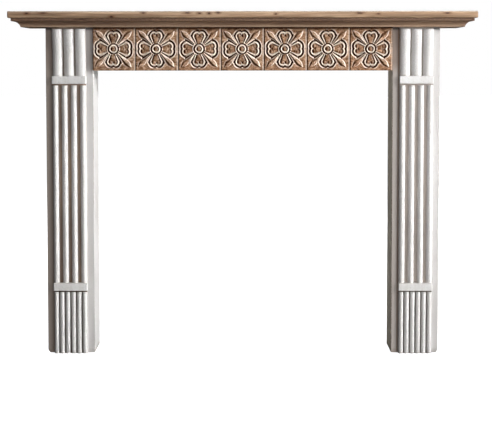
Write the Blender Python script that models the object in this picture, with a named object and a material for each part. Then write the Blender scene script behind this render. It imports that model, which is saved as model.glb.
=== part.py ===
"""Fireplace mantelpiece: a pine shelf on a cornice, a frieze of carved tiles and two painted jambs.

Lengths are in metres. X runs along the shelf, Y from front to back and Z up.
The origin is on the floor, under the middle of the shelf's length and depth.
"""

import math

import bmesh
import bpy
from mathutils import Vector
from mathutils.geometry import delaunay_2d_cdt

# Shelf
SHELF_DEPTH = 0.250
SHELF_THICKNESS = 0.022
SHELF_FRONT_OVERHANG = 0.092  # shelf's front edge ahead of the jambs' front boards
SHELF_END_OVERHANG = 0.110  # shelf's ends beyond the jambs' outer sides
SHELF_ARRIS = 0.003

# Opening and jambs
OPENING_WIDTH = 0.972
OPENING_HEIGHT = 0.925
JAMB_WIDTH = 0.154
JAMB_BOARD = 0.020  # thickness of the jambs' front and side boards
BOARD_ARRIS = 0.0015
WORN_WIDTH = 0.006  # wear on the outer bottom corner of each jamb
WORN_HEIGHT = 0.010
JOINT_GAP = 0.0003  # clearance between pieces that touch

# Frieze
TILE_COUNT = 7
TILE_HEIGHT = 0.140
TILE_THICKNESS = 0.020
TILE_PROJECTION = 0.014  # tile's ground ahead of the jambs' front boards
TILE_ARRIS = 0.0016
FLOWER_MARGIN = 0.0027  # from the flower's outer ridge to the nearest edges of its tile
FRIEZE_BOARD = 0.020

# Cornice moulding, from the shelf down
CORNICE_HEIGHT = 0.028
CORNICE_SETBACK = 0.010  # fillet behind the shelf's edge
FILLET_HEIGHT = 0.0095
FILLET_STEP = 0.003
COVE_PROJECTION = 0.0235
COVE_LIP = 0.003
COVE_START = math.radians(25.0)
COVE_SEGMENTS = 7
MOULD_FOOT = 0.0185  # thickness at the bottom of the cove

# Carved front of each jamb, all projections measured from the front board
BASE_HEIGHT = 0.207
BAND_HEIGHT = 0.026
CAPITAL_HEIGHT = 0.157
BAND_WIDTH = 0.110
BAND_PROJECTION = 0.026
BAND_ARRIS = 0.003
REED_CREST = 0.022
CAPITAL_TOP_CREST = 0.034
CAPITAL_STATIONS = 7
SWELL_START = 0.40  # shares of the capital's height between which it swells forward
SWELL_END = 0.86

# Each run of reeds: count, overall width, gap between reeds, reed height, facets on a reed
SHAFT_REEDS = {"count": 4, "width": 0.110, "gap": 0.0100, "height": 0.0115, "facets": 8}
BASE_REEDS = {"count": 6, "width": 0.108, "gap": 0.0030, "height": 0.0085, "facets": 6}
CAPITAL_REEDS = {"count": 3, "width": 0.109, "gap": 0.0024, "height": 0.0140, "facets": 8}

# Tile relief: plan sizes are in units that the flower is scaled by to fit its tile, and heights
# are metres from the tile's ground
PETAL_BASE = 0.335  # start of a petal, from the tile's centre
PETAL_BASE_HALF = 0.115
PETAL_CENTRE = 0.56
LOBE_ALONG = 0.655
LOBE_ACROSS = 0.145
LOBE_RADIUS = 0.150
PETAL_POINTS = 16
NARROWING = 0.35  # grooves and ridges shrink to this share beside the boss
NARROW_END = 0.62
PETAL_LEVELS = (  # distance outside the petal's rim, height
    (0.155, 0.0018),
    (0.085, -0.0050),
    (0.000, 0.0036),
    (-0.068, -0.0026),
    (-0.115, -0.0008),
)
CUSHION_POINTS = (0.46, 0.60)  # distances from the tile's centre along a petal
LEAF_START = 0.45
LEAF_END = 1.21
LEAF_HALF = 0.098
LEAF_SKEW = 1.4
LEAF_MARGIN = 0.030
LEAF_SIDE_POINTS = 3
LEAF_SPINE = (0.25, 0.6, 0.9)  # shares of the leaf's length
LEAF_FOOT_HEIGHT = -0.0040
LEAF_CREST_HEIGHT = 0.0030
BOSS_POINTS = 12
BOSS_RINGS = (  # radius, height
    (0.270, 0.0015),
    (0.222, -0.0050),
    (0.165, 0.0040),
    (0.112, -0.0012),
    (0.000, 0.0018),
)
RAY_REACH = 0.6
EDGE_TOLERANCE = 1e-5

# Levels and planes that the sizes above give
JAMB_HEIGHT = OPENING_HEIGHT + TILE_HEIGHT
SHELF_UNDERSIDE = JAMB_HEIGHT + CORNICE_HEIGHT
FRONT_EDGE = -SHELF_DEPTH / 2
BACK_PLANE = SHELF_DEPTH / 2
JAMB_FRONT = FRONT_EDGE + SHELF_FRONT_OVERHANG
JAMB_CENTRE = OPENING_WIDTH / 2 + JAMB_WIDTH / 2
SHELF_LENGTH = OPENING_WIDTH + 2 * JAMB_WIDTH + 2 * SHELF_END_OVERHANG
TILE_WIDTH = OPENING_WIDTH / TILE_COUNT
MOULD_THICKNESS = MOULD_FOOT + COVE_PROJECTION + FILLET_STEP
CORE_HALF_LENGTH = SHELF_LENGTH / 2 - CORNICE_SETBACK - MOULD_THICKNESS
CORE_FRONT = FRONT_EDGE + CORNICE_SETBACK + MOULD_THICKNESS

PINE = ("pine", (0.38, 0.24, 0.15, 1.0), 0.62)
CARVED_PINE = ("carved_pine", (0.36, 0.21, 0.13, 1.0), 0.58)
WHITE_PAINT = ("white_paint", (0.78, 0.76, 0.73, 1.0), 0.55)


def material(description):
    """The Principled material of that name, made on first use."""
    name, colour, roughness = description
    found = bpy.data.materials.get(name)
    if found:
        return found
    made = bpy.data.materials.new(name)
    made.use_nodes = True
    shader = made.node_tree.nodes["Principled BSDF"]
    shader.inputs["Base Color"].default_value = colour
    shader.inputs["Roughness"].default_value = roughness
    shader.inputs["Metallic"].default_value = 0.0
    return made


def add_object(name, mesh, description, location=(0, 0, 0)):
    """Links a mesh into the scene as one named sub-part."""
    if not mesh.materials:
        mesh.materials.append(material(description))
    made = bpy.data.objects.new(name, mesh)
    made.location = location
    bpy.context.scene.collection.objects.link(made)
    return made


def mesh_from(name, bm):
    """Turns a bmesh into a mesh whose faces point out."""
    bmesh.ops.recalc_face_normals(bm, faces=bm.faces)
    mesh = bpy.data.meshes.new(name)
    bm.to_mesh(mesh)
    bm.free()
    return mesh


def board(name, low, high, description, arris=BOARD_ARRIS, segments=1):
    """A sawn board between two corners, its long edges eased by a Bevel modifier."""
    low, high = Vector(low), Vector(high)
    bm = bmesh.new()
    bmesh.ops.create_cube(bm, size=1.0)
    bmesh.ops.scale(bm, vec=high - low, verts=bm.verts)
    made = add_object(name, mesh_from(name, bm), description, (low + high) / 2)
    bevel = made.modifiers.new("arris", "BEVEL")
    bevel.width = arris
    bevel.segments = segments
    bevel.limit_method = "ANGLE"
    return made


def worn_board(name, low, high, outer, description):
    """A board with its bottom corner worn off on the side that outer gives, -1 or 1 along X."""
    inner_x, outer_x = (low[0], high[0]) if outer > 0 else (high[0], low[0])
    outline = [
        (inner_x, low[2]),
        (outer_x - outer * WORN_WIDTH, low[2]),
        (outer_x, low[2] + WORN_HEIGHT),
        (outer_x, high[2]),
        (inner_x, high[2]),
    ]
    faces = [[(x, y, z) for x, z in outline] for y in (low[1], high[1])]
    made = solid_between(name, faces, description)
    bevel = made.modifiers.new("arris", "BEVEL")
    bevel.width = BOARD_ARRIS
    bevel.segments = 1
    bevel.limit_method = "ANGLE"
    bevel.angle_limit = math.radians(40)
    return made


def solid_between(name, ends, description, location=(0, 0, 0), smooth_under=None):
    """Bridges rings of points, each with the same count, and closes the first and last ring."""
    bm = bmesh.new()
    rings = [[bm.verts.new(point) for point in ring] for ring in ends]
    for ring, following in zip(rings, rings[1:]):
        for i in range(len(ring)):
            j = (i + 1) % len(ring)
            bm.faces.new((ring[i], ring[j], following[j], following[i]))
    bm.faces.new(rings[0])
    bm.faces.new(rings[-1])
    mesh = mesh_from(name, bm)
    if smooth_under is not None:
        mesh.shade_smooth()
        mesh.set_sharp_from_angle(angle=smooth_under)
    return add_object(name, mesh, description, location)


def reeded_front(reeds, crest):
    """Points (x, projection) along the front of a reeded board, from left to right."""
    reed_width = (reeds["width"] - (reeds["count"] - 1) * reeds["gap"]) / reeds["count"]
    floor = crest - reeds["height"]
    points = []
    for n in range(reeds["count"]):
        centre = -reeds["width"] / 2 + reed_width / 2 + n * (reed_width + reeds["gap"])
        for i in range(reeds["facets"] + 1):
            turn = math.pi * i / reeds["facets"]
            x = centre - reed_width / 2 * math.cos(turn)
            points.append((x, floor + reeds["height"] * math.sin(turn)))
    return points


def reeded_ring(reeds, crest, height):
    """The closed outline of a reeded board at one height, its back a gap off the front board."""
    front = reeded_front(reeds, crest)
    outline = [(x, -projection, height) for x, projection in front]
    half = reeds["width"] / 2
    return outline + [(half, -JOINT_GAP, height), (-half, -JOINT_GAP, height)]


def reeded_block(name, reeds, crest_at, bottom, top, stations, centre_x):
    """A reeded board from bottom to top; crest_at gives the reeds' projection at a share of its height."""
    rings = []
    for k in range(stations):
        share = k / (stations - 1)
        height = bottom + (top - bottom) * share
        rings.append(reeded_ring(reeds, crest_at(share), height))
    return solid_between(
        name, rings, WHITE_PAINT, (centre_x, JAMB_FRONT, 0), smooth_under=math.radians(50)
    )


def capital_crest(share):
    """Projection of the capital's reeds, which swell forward in an ogee under the cornice."""
    t = min(1.0, max(0.0, (share - SWELL_START) / (SWELL_END - SWELL_START)))
    return REED_CREST + (CAPITAL_TOP_CREST - REED_CREST) * t * t * (3 - 2 * t)


def jamb(side, sign):
    """One jamb: a box of three boards with the carved front built up on it."""
    centre = sign * JAMB_CENTRE
    gap = JOINT_GAP
    top = JAMB_HEIGHT - gap
    half = JAMB_WIDTH / 2
    back_of_front = JAMB_FRONT + JAMB_BOARD
    worn_board(
        f"{side}_jamb_front",
        (centre - half, JAMB_FRONT, 0),
        (centre + half, back_of_front, top),
        sign,
        WHITE_PAINT,
    )
    outer_edge = centre + sign * half
    worn_board(
        f"{side}_jamb_outer_side",
        (min(outer_edge, outer_edge - sign * JAMB_BOARD), back_of_front + gap, 0),
        (max(outer_edge, outer_edge - sign * JAMB_BOARD), BACK_PLANE, top),
        sign,
        WHITE_PAINT,
    )
    inner_edge = centre - sign * half
    board(
        f"{side}_jamb_inner_side",
        (min(inner_edge, inner_edge + sign * JAMB_BOARD), back_of_front + gap, 0),
        (max(inner_edge, inner_edge + sign * JAMB_BOARD), BACK_PLANE, top),
        WHITE_PAINT,
    )
    base_top = BASE_HEIGHT
    shaft_bottom = base_top + BAND_HEIGHT
    capital_bottom = JAMB_HEIGHT - CAPITAL_HEIGHT
    shaft_top = capital_bottom - BAND_HEIGHT

    def straight(_share):
        return REED_CREST

    reeded_block(f"{side}_base", BASE_REEDS, straight, 0, base_top - gap, 2, centre)
    reeded_block(
        f"{side}_shaft", SHAFT_REEDS, straight, shaft_bottom, shaft_top - gap, 2, centre
    )
    reeded_block(
        f"{side}_capital",
        CAPITAL_REEDS,
        capital_crest,
        capital_bottom,
        top,
        CAPITAL_STATIONS,
        centre,
    )
    for name, bottom in (("lower_band", base_top), ("upper_band", shaft_top)):
        board(
            f"{side}_{name}",
            (centre - BAND_WIDTH / 2, JAMB_FRONT - BAND_PROJECTION, bottom),
            (centre + BAND_WIDTH / 2, JAMB_FRONT - gap, bottom + BAND_HEIGHT - gap),
            WHITE_PAINT,
            BAND_ARRIS,
        )


def cornice_profile():
    """Points (outward, height) of the moulding's section: lip, cove and fillet, from its back edge."""
    bottom = JAMB_HEIGHT
    top = SHELF_UNDERSIDE - JOINT_GAP
    cove_bottom = bottom + COVE_LIP
    cove_top = top - FILLET_HEIGHT
    points = [(JOINT_GAP, bottom), (MOULD_FOOT, bottom)]
    for i in range(COVE_SEGMENTS + 1):
        turn = COVE_START + (math.pi / 2 - COVE_START) * i / COVE_SEGMENTS
        outward = MOULD_FOOT + COVE_PROJECTION * (1 - math.cos(turn) / math.cos(COVE_START))
        rise = (math.sin(turn) - math.sin(COVE_START)) / (1 - math.sin(COVE_START))
        points.append((outward, cove_bottom + (cove_top - cove_bottom) * rise))
    points.append((MOULD_THICKNESS, cove_top))
    points.append((MOULD_THICKNESS, top))
    points.append((JOINT_GAP, top))
    return points


def cornice():
    """The core board under the shelf, with a moulding mitred round its front and two ends."""
    board(
        "cornice_core",
        (-CORE_HALF_LENGTH, CORE_FRONT, JAMB_HEIGHT),
        (CORE_HALF_LENGTH, BACK_PLANE, SHELF_UNDERSIDE - JOINT_GAP),
        PINE,
    )
    profile = cornice_profile()
    mitre_gap = JOINT_GAP * math.sqrt(2)
    front = [
        [(sign * (CORE_HALF_LENGTH + out), CORE_FRONT - out, z) for out, z in profile]
        for sign in (-1, 1)
    ]
    solid_between("cornice_mould_front", front, PINE, smooth_under=math.radians(30))
    for side, sign in (("left", -1), ("right", 1)):
        mitred = [
            (sign * (CORE_HALF_LENGTH + out), CORE_FRONT - out + mitre_gap, z)
            for out, z in profile
        ]
        square = [(x, BACK_PLANE, z) for x, _, z in mitred]
        solid_between(
            f"cornice_mould_{side}", [mitred, square], PINE, smooth_under=math.radians(30)
        )


def petal_distance(along, across):
    """Signed distance to a petal's heart-shaped rim, negative inside, in the flower's units."""
    point = Vector((along, abs(across)))
    lobe = Vector((LOBE_ALONG, LOBE_ACROSS))
    corner = Vector((PETAL_BASE, PETAL_BASE_HALF))
    # The straight side leaves the base's corner and touches the lobe's circle
    to_lobe = lobe - corner
    lean = math.atan2(to_lobe.y, to_lobe.x) + math.asin(LOBE_RADIUS / to_lobe.length)
    beyond_side = (point - corner).dot(Vector((-math.sin(lean), math.cos(lean))))
    # The lobes' circles meet in a notch on the petal's middle line
    notch_rise = math.sqrt(max(0.0, LOBE_RADIUS**2 - LOBE_ACROSS**2))
    front = Vector((LOBE_ACROSS, notch_rise)).normalized()
    beyond_front = (point - lobe).dot(front)
    beyond_body = max(beyond_side, beyond_front, PETAL_BASE - along)
    return min(beyond_body, (point - lobe).length - LOBE_RADIUS)


def narrowing(along):
    """How far grooves and ridges keep their width at a distance from the boss."""
    t = min(1.0, max(0.0, (along - PETAL_BASE) / (NARROW_END - PETAL_BASE)))
    return NARROWING + (1 - NARROWING) * t * t * (3 - 2 * t)


def along_table(table, value):
    """The height that a table of (distance, height) rows, nearest last, gives at a distance."""
    for (outer, outer_height), (inner, inner_height) in zip(table, table[1:]):
        if value >= inner:
            share = min(1.0, (value - inner) / (outer - inner))
            return inner_height + (outer_height - inner_height) * share
    return table[-1][1]


def leaf_height(along, across):
    """Height of a leaf at a point of its own axes, or None beyond its margin."""
    share = (along - LEAF_START) / (LEAF_END - LEAF_START)
    if 0.0 < share < 1.0:
        half = LEAF_HALF * math.sin(math.pi * share**LEAF_SKEW)
        beyond = abs(across) - half
        if beyond < 0:
            return LEAF_CREST_HEIGHT + (LEAF_FOOT_HEIGHT - LEAF_CREST_HEIGHT) * abs(across) / half
    else:
        beyond = math.hypot(along - (LEAF_START if share <= 0 else LEAF_END), across)
    if beyond > LEAF_MARGIN:
        return None
    return LEAF_FOOT_HEIGHT * (1 - beyond / LEAF_MARGIN)


def carved_height(x, y):
    """Height of the carving at a point: where forms overlap, the deeper cut is left."""
    cuts = []
    radius = math.hypot(x, y)
    if radius <= BOSS_RINGS[0][0] + EDGE_TOLERANCE:
        cuts.append(along_table(BOSS_RINGS, radius))
    for quarter in range(4):
        [(along, across)] = turned([(x, y)], -math.pi / 2 * quarter)
        distance = petal_distance(along, across) / narrowing(along)
        if distance <= PETAL_LEVELS[0][0] + EDGE_TOLERANCE:
            cuts.append(along_table(PETAL_LEVELS, distance))
        [(along, across)] = turned([(x, y)], -math.pi / 2 * (quarter + 0.5))
        height = leaf_height(along, across)
        if height is not None:
            cuts.append(height)
    return min(cuts, default=0.0)


def petal_loop(level):
    """Points at one distance from the rim, found along rays from the petal's centre."""
    loop = []
    for n in range(PETAL_POINTS):
        turn = math.tau * n / PETAL_POINTS
        near, far = 0.0, RAY_REACH
        for _ in range(40):
            reach = (near + far) / 2
            along = PETAL_CENTRE + math.cos(turn) * reach
            if petal_distance(along, math.sin(turn) * reach) < level * narrowing(along):
                near = reach
            else:
                far = reach
        loop.append((PETAL_CENTRE + math.cos(turn) * near, math.sin(turn) * near))
    return loop


def leaf_loop(margin):
    """The outline of a leaf along +X, grown by a margin."""
    length = LEAF_END - LEAF_START
    side = []
    for n in range(1, LEAF_SIDE_POINTS + 1):
        share = n / (LEAF_SIDE_POINTS + 1)
        half = LEAF_HALF * math.sin(math.pi * share**LEAF_SKEW)
        side.append((LEAF_START + length * share, half + margin))
    below = [(x, -y) for x, y in side]
    return [(LEAF_START - margin, 0.0), *below, (LEAF_END + margin, 0.0), *side[::-1]]


def turned(points, angle):
    """Points turned about the tile's centre."""
    c, s = math.cos(angle), math.sin(angle)
    return [(x * c - y * s, x * s + y * c) for x, y in points]


def tile_lines(edge_x, edge_y):
    """Every line that the carving's creases follow, in the flower's units, and whether it closes."""
    lines = [([(-edge_x, -edge_y), (edge_x, -edge_y), (edge_x, edge_y), (-edge_x, edge_y)], True)]
    for quarter in range(4):
        turn = math.pi / 2 * quarter
        for level, _ in PETAL_LEVELS[:-1]:
            lines.append((turned(petal_loop(level), turn), True))
        cushion = [(along, 0.0) for along in CUSHION_POINTS]
        lines.append((turned(cushion, turn), False))
        diagonal = turn + math.pi / 4
        lines.append((turned(leaf_loop(LEAF_MARGIN), diagonal), True))
        lines.append((turned(leaf_loop(0.0), diagonal), True))
        length = LEAF_END - LEAF_START
        spine = [(LEAF_START + length * share, 0.0) for share in LEAF_SPINE]
        lines.append((turned(spine, diagonal), False))
    for radius, _ in BOSS_RINGS[:-1]:
        corners = [(radius, 0.0)]
        ring = [turned(corners, math.tau * n / BOSS_POINTS)[0] for n in range(BOSS_POINTS)]
        lines.append((ring, True))
    lines.append(([(0.0, 0.0)], False))
    return lines


def tile_mesh():
    """A carved tile: its ground is at Y = 0, its back behind and the relief towards -Y."""
    half_width = (TILE_WIDTH - JOINT_GAP) / 2
    half_height = (TILE_HEIGHT - JOINT_GAP) / 2
    flower_reach = LOBE_ALONG + LOBE_RADIUS + PETAL_LEVELS[0][0]
    unit = (min(half_width, half_height) - FLOWER_MARGIN) / flower_reach
    edge_x = (half_width - TILE_ARRIS) / unit
    edge_y = (half_height - TILE_ARRIS) / unit
    points, edges = [], []
    for line, closed in tile_lines(edge_x, edge_y):
        first, count = len(points), len(line)
        # A form that runs off the tile ends at its edge
        points += [
            Vector((min(edge_x, max(-edge_x, x)), min(edge_y, max(-edge_y, y)))) for x, y in line
        ]
        for n in range(count if closed else count - 1):
            edges.append((first + n, first + (n + 1) % count))
    found, _, faces, _, _, _ = delaunay_2d_cdt(points, edges, [], 0, EDGE_TOLERANCE, False)

    bm = bmesh.new()
    front = [bm.verts.new((p.x * unit, -carved_height(p.x, p.y), p.y * unit)) for p in found]
    for face in faces:
        bm.faces.new([front[i] for i in face])
    for depth in (TILE_ARRIS, TILE_THICKNESS):
        rim = [edge for edge in bm.edges if edge.is_boundary]
        grown = bmesh.ops.extrude_edge_only(bm, edges=rim)["geom"]
        for vert in grown:
            if isinstance(vert, bmesh.types.BMVert):
                on_side = abs(vert.co.x) > (edge_x - EDGE_TOLERANCE * 10) * unit
                on_end = abs(vert.co.z) > (edge_y - EDGE_TOLERANCE * 10) * unit
                vert.co.x = math.copysign(half_width, vert.co.x) if on_side else vert.co.x
                vert.co.z = math.copysign(half_height, vert.co.z) if on_end else vert.co.z
                vert.co.y = depth
    bmesh.ops.holes_fill(bm, edges=[edge for edge in bm.edges if edge.is_boundary])
    return mesh_from("frieze_tile", bm)


def frieze():
    """The board that joins the jambs, faced with a row of carved tiles."""
    gap = JOINT_GAP
    tile_back = JAMB_FRONT - TILE_PROJECTION + TILE_THICKNESS
    half = OPENING_WIDTH / 2 - gap
    board(
        "frieze_board",
        (-half, tile_back + gap, OPENING_HEIGHT),
        (half, tile_back + gap + FRIEZE_BOARD, JAMB_HEIGHT - gap),
        PINE,
    )
    carved = tile_mesh()
    for n in range(TILE_COUNT):
        x = (n - (TILE_COUNT - 1) / 2) * TILE_WIDTH
        y = JAMB_FRONT - TILE_PROJECTION
        z = OPENING_HEIGHT + (TILE_HEIGHT - gap) / 2
        add_object(f"frieze_tile_{n + 1}", carved, CARVED_PINE, (x, y, z))


def shelf():
    """The mantel shelf, one pine board with rounded edges."""
    board(
        "shelf_board",
        (-SHELF_LENGTH / 2, FRONT_EDGE, SHELF_UNDERSIDE),
        (SHELF_LENGTH / 2, BACK_PLANE, SHELF_UNDERSIDE + SHELF_THICKNESS),
        PINE,
        SHELF_ARRIS,
        segments=3,
    )


def main():
    for old in list(bpy.data.objects):
        bpy.data.objects.remove(old)
    shelf()
    cornice()
    frieze()
    for side, sign in (("left", -1), ("right", 1)):
        jamb(side, sign)


main()
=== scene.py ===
"""Looks for the fireplace mantelpiece: reclaimed pine shelf, carved frieze tiles and worn white jambs."""

import math

import bpy
import numpy as np
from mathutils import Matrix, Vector


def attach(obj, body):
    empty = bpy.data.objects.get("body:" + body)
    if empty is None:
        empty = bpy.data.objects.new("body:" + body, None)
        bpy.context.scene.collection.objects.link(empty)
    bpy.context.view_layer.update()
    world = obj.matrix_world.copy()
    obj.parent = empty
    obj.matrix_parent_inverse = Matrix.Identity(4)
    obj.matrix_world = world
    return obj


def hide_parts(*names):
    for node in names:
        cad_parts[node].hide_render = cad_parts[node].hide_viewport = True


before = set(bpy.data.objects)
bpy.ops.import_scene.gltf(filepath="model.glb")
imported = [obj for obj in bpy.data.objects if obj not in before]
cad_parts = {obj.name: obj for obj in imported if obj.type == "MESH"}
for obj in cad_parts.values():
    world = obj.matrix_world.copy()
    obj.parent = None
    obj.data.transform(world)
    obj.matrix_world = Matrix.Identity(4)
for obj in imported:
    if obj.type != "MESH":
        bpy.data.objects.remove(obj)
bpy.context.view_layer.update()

# Sizes of the solids, in metres
SHELF_LENGTH = 1.500
SHELF_DEPTH = 0.250
SHELF_THICKNESS = 0.022
SHELF_FRONT_OVERHANG = 0.092
OPENING_WIDTH = 0.972
OPENING_HEIGHT = 0.925
JAMB_WIDTH = 0.154
JAMB_BOARD = 0.020
JOINT_GAP = 0.0003
TILE_COUNT = 7
TILE_HEIGHT = 0.140
TILE_THICKNESS = 0.020
TILE_PROJECTION = 0.014
CORNICE_HEIGHT = 0.028
CORNICE_SETBACK = 0.010
FILLET_HEIGHT = 0.0095
FILLET_STEP = 0.003
COVE_PROJECTION = 0.0235
COVE_LIP = 0.003
COVE_START = math.radians(25.0)
MOULD_FOOT = 0.0185
BASE_HEIGHT = 0.207
BAND_HEIGHT = 0.026
CAPITAL_HEIGHT = 0.157
BAND_WIDTH = 0.110
BAND_PROJECTION = 0.026
REED_CREST = 0.022
CAPITAL_TOP_CREST = 0.034
SWELL_START = 0.40
SWELL_END = 0.86
SHAFT_REEDS = {"count": 4, "width": 0.110, "gap": 0.0100, "height": 0.0115}
BASE_REEDS = {"count": 6, "width": 0.108, "gap": 0.0030, "height": 0.0085}
CAPITAL_REEDS = {"count": 3, "width": 0.109, "gap": 0.0024, "height": 0.0140}

JAMB_HEIGHT = OPENING_HEIGHT + TILE_HEIGHT
SHELF_UNDERSIDE = JAMB_HEIGHT + CORNICE_HEIGHT
FRONT_EDGE = -SHELF_DEPTH / 2
BACK_PLANE = SHELF_DEPTH / 2
JAMB_FRONT = FRONT_EDGE + SHELF_FRONT_OVERHANG
JAMB_CENTRE = OPENING_WIDTH / 2 + JAMB_WIDTH / 2
TILE_WIDTH = OPENING_WIDTH / TILE_COUNT
MOULD_THICKNESS = MOULD_FOOT + COVE_PROJECTION + FILLET_STEP
CORE_HALF_LENGTH = SHELF_LENGTH / 2 - CORNICE_SETBACK - MOULD_THICKNESS
CORE_FRONT = FRONT_EDGE + CORNICE_SETBACK + MOULD_THICKNESS
SHELF_TOP = SHELF_UNDERSIDE + SHELF_THICKNESS
FILLET_BOTTOM = SHELF_UNDERSIDE - FILLET_HEIGHT
CAPITAL_BOTTOM = JAMB_HEIGHT - CAPITAL_HEIGHT
SHAFT_BOTTOM = BASE_HEIGHT + BAND_HEIGHT
SHAFT_TOP = CAPITAL_BOTTOM - BAND_HEIGHT
BAND_HALF = BAND_WIDTH / 2

# Fine forms that only the visual pieces have, in metres
SHELF_ARRIS = 0.0028
SHELF_DENT = 0.0004
BAND_ARRIS = 0.0014
BAND_DENT = 0.0009
MOULD_EASE = 0.0007
MOULD_WEAR = 0.00022
CAPITAL_NECK = 0.0055
BAND_NECK = 0.0050
NECK_PROJECTION = 0.010
NECK_STEP = 0.0004
REED_END_EASE = 0.0006
REED_UNEVENNESS = 0.00004
WIDE_VALLEY = 0.0004
NARROW_VALLEY = 0.0014
NARROW_GAP = 0.005
TILE_ARRIS = 0.0026
TILE_ARRIS_DROP = 0.0022
TILE_UNEVENNESS = 0.00035

# Carving of a tile, in the flower's units of about half a tile, except that the unit itself, the
# flower's shift and the cuts beside the leaves are in metres
FLOWER_UNIT = 0.0694
PETAL_BASE = 0.18
PETAL_BASE_HALF = 0.070
LOBE_ALONG = 0.600
LOBE_ACROSS = 0.112
LOBE_RADIUS = 0.115
NARROWING = 0.50
NARROW_END = 0.60
LEAF_START = 0.27
LEAF_END = 1.20
LEAF_HALF = 0.126
LEAF_STEM = 0.024
LEAF_SKEW = 1.9
LEAF_MARGIN = 0.050
PETAL_RIM = 0.205
FLOWER_SHIFT = -0.0034
LEAF_SHIFT = 0.020
LEAF_CUT_LEFT = 0.0014
LEAF_CUT_RIGHT = 0.0006
LEVEL_PETAL_SLIM = 0.97
UPRIGHT_PETAL_SLIM = 1.06
BOSS_EDGE = 0.26
BOSS_RIM = 0.162
BOSS_RIM_HALF = 0.036
BOSS_HOLLOW = 0.115
HOLLOW_RIM = 0.044
TILE_CELLS = 150

# Wear, stain and painted light and shade of a tile: distances from a hollow in the flower's units,
# distances from an edge in metres
GROOVE = 0.126
GROOVE_SWAY = 0.026
GROOVE_START = 0.100
SHOULDER = 0.215
SHOULDER_HALF = 0.020
HIGHLIGHT_LINE = 0.0042
HIGHLIGHT_LINE_HALF = 0.0012
LEFT_SEAM = 0.0014
RIGHT_SEAM = 0.0009
TOP_SHADE = 0.009
TOP_SHADE_FADE = 0.006
EDGE_STAIN_AND_SHADE = 0.90

# Wear of the shelf and the bands: the worn edge's breadth in radii, the bites' depth in dents and
# the level of the random wave above which they start, and the wax on the bands' flat faces
EDGE_BREADTH = 2.2
BITE_DEPTH = 3.0
BITE_LEVEL = 0.45
FACE_DIRT = 0.34

# Lamps: name, place, target, width, height, watts and spread in degrees
LAMPS = (
    ("key", (2.3, -3.0, 1.6), (0, 0, 0.6), 1.3, 1.3, 49, 180),
    ("side", (2.9, -1.15, 1.05), (-0.62, 0, 0.50), 1.0, 1.6, 10.2, 40),
    ("fill", (0.5, -5.5, 1.0), (0, 0, 0.6), 3.0, 3.0, 84, 180),
    ("rear", (-2.0, 4.5, 4.0), (0, 0, 0.6), 3.0, 3.0, 140, 180),
    ("back", (1.0, 5.0, 2.2), (0, 0, 0.6), 0.8, 0.8, 60, 180),
    ("left", (-2.5, 2.2, 1.2), (-0.65, 0.05, 0.55), 0.4, 1.2, 1.5, 16),
)

# Camera: the photograph's viewing angle, with angles in radians and the lens in millimetres
CAMERA_PLACE = (0.02924, -5.033, 0.94508)
CAMERA_PITCH = 0.0661
CAMERA_YAW = -0.00369
CAMERA_ROLL = -0.00065
CAMERA_LENS = 112.39
CAMERA_SHIFT_Y = -0.0904

# Floor: half its side, its distance below the object, and the brightness near and far from the object
FLOOR_HALF = 40.0
FLOOR_GAP = 0.0005
FLOOR_GLOW = (0.86, 1.06)


def srgb(red, green, blue):
    """A linear colour from 0 to 255 screen values."""
    linear = []
    for value in (red, green, blue):
        share = value / 255
        linear.append(share / 12.92 if share <= 0.04045 else ((share + 0.055) / 1.055) ** 2.4)
    return (*linear, 1.0)


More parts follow.
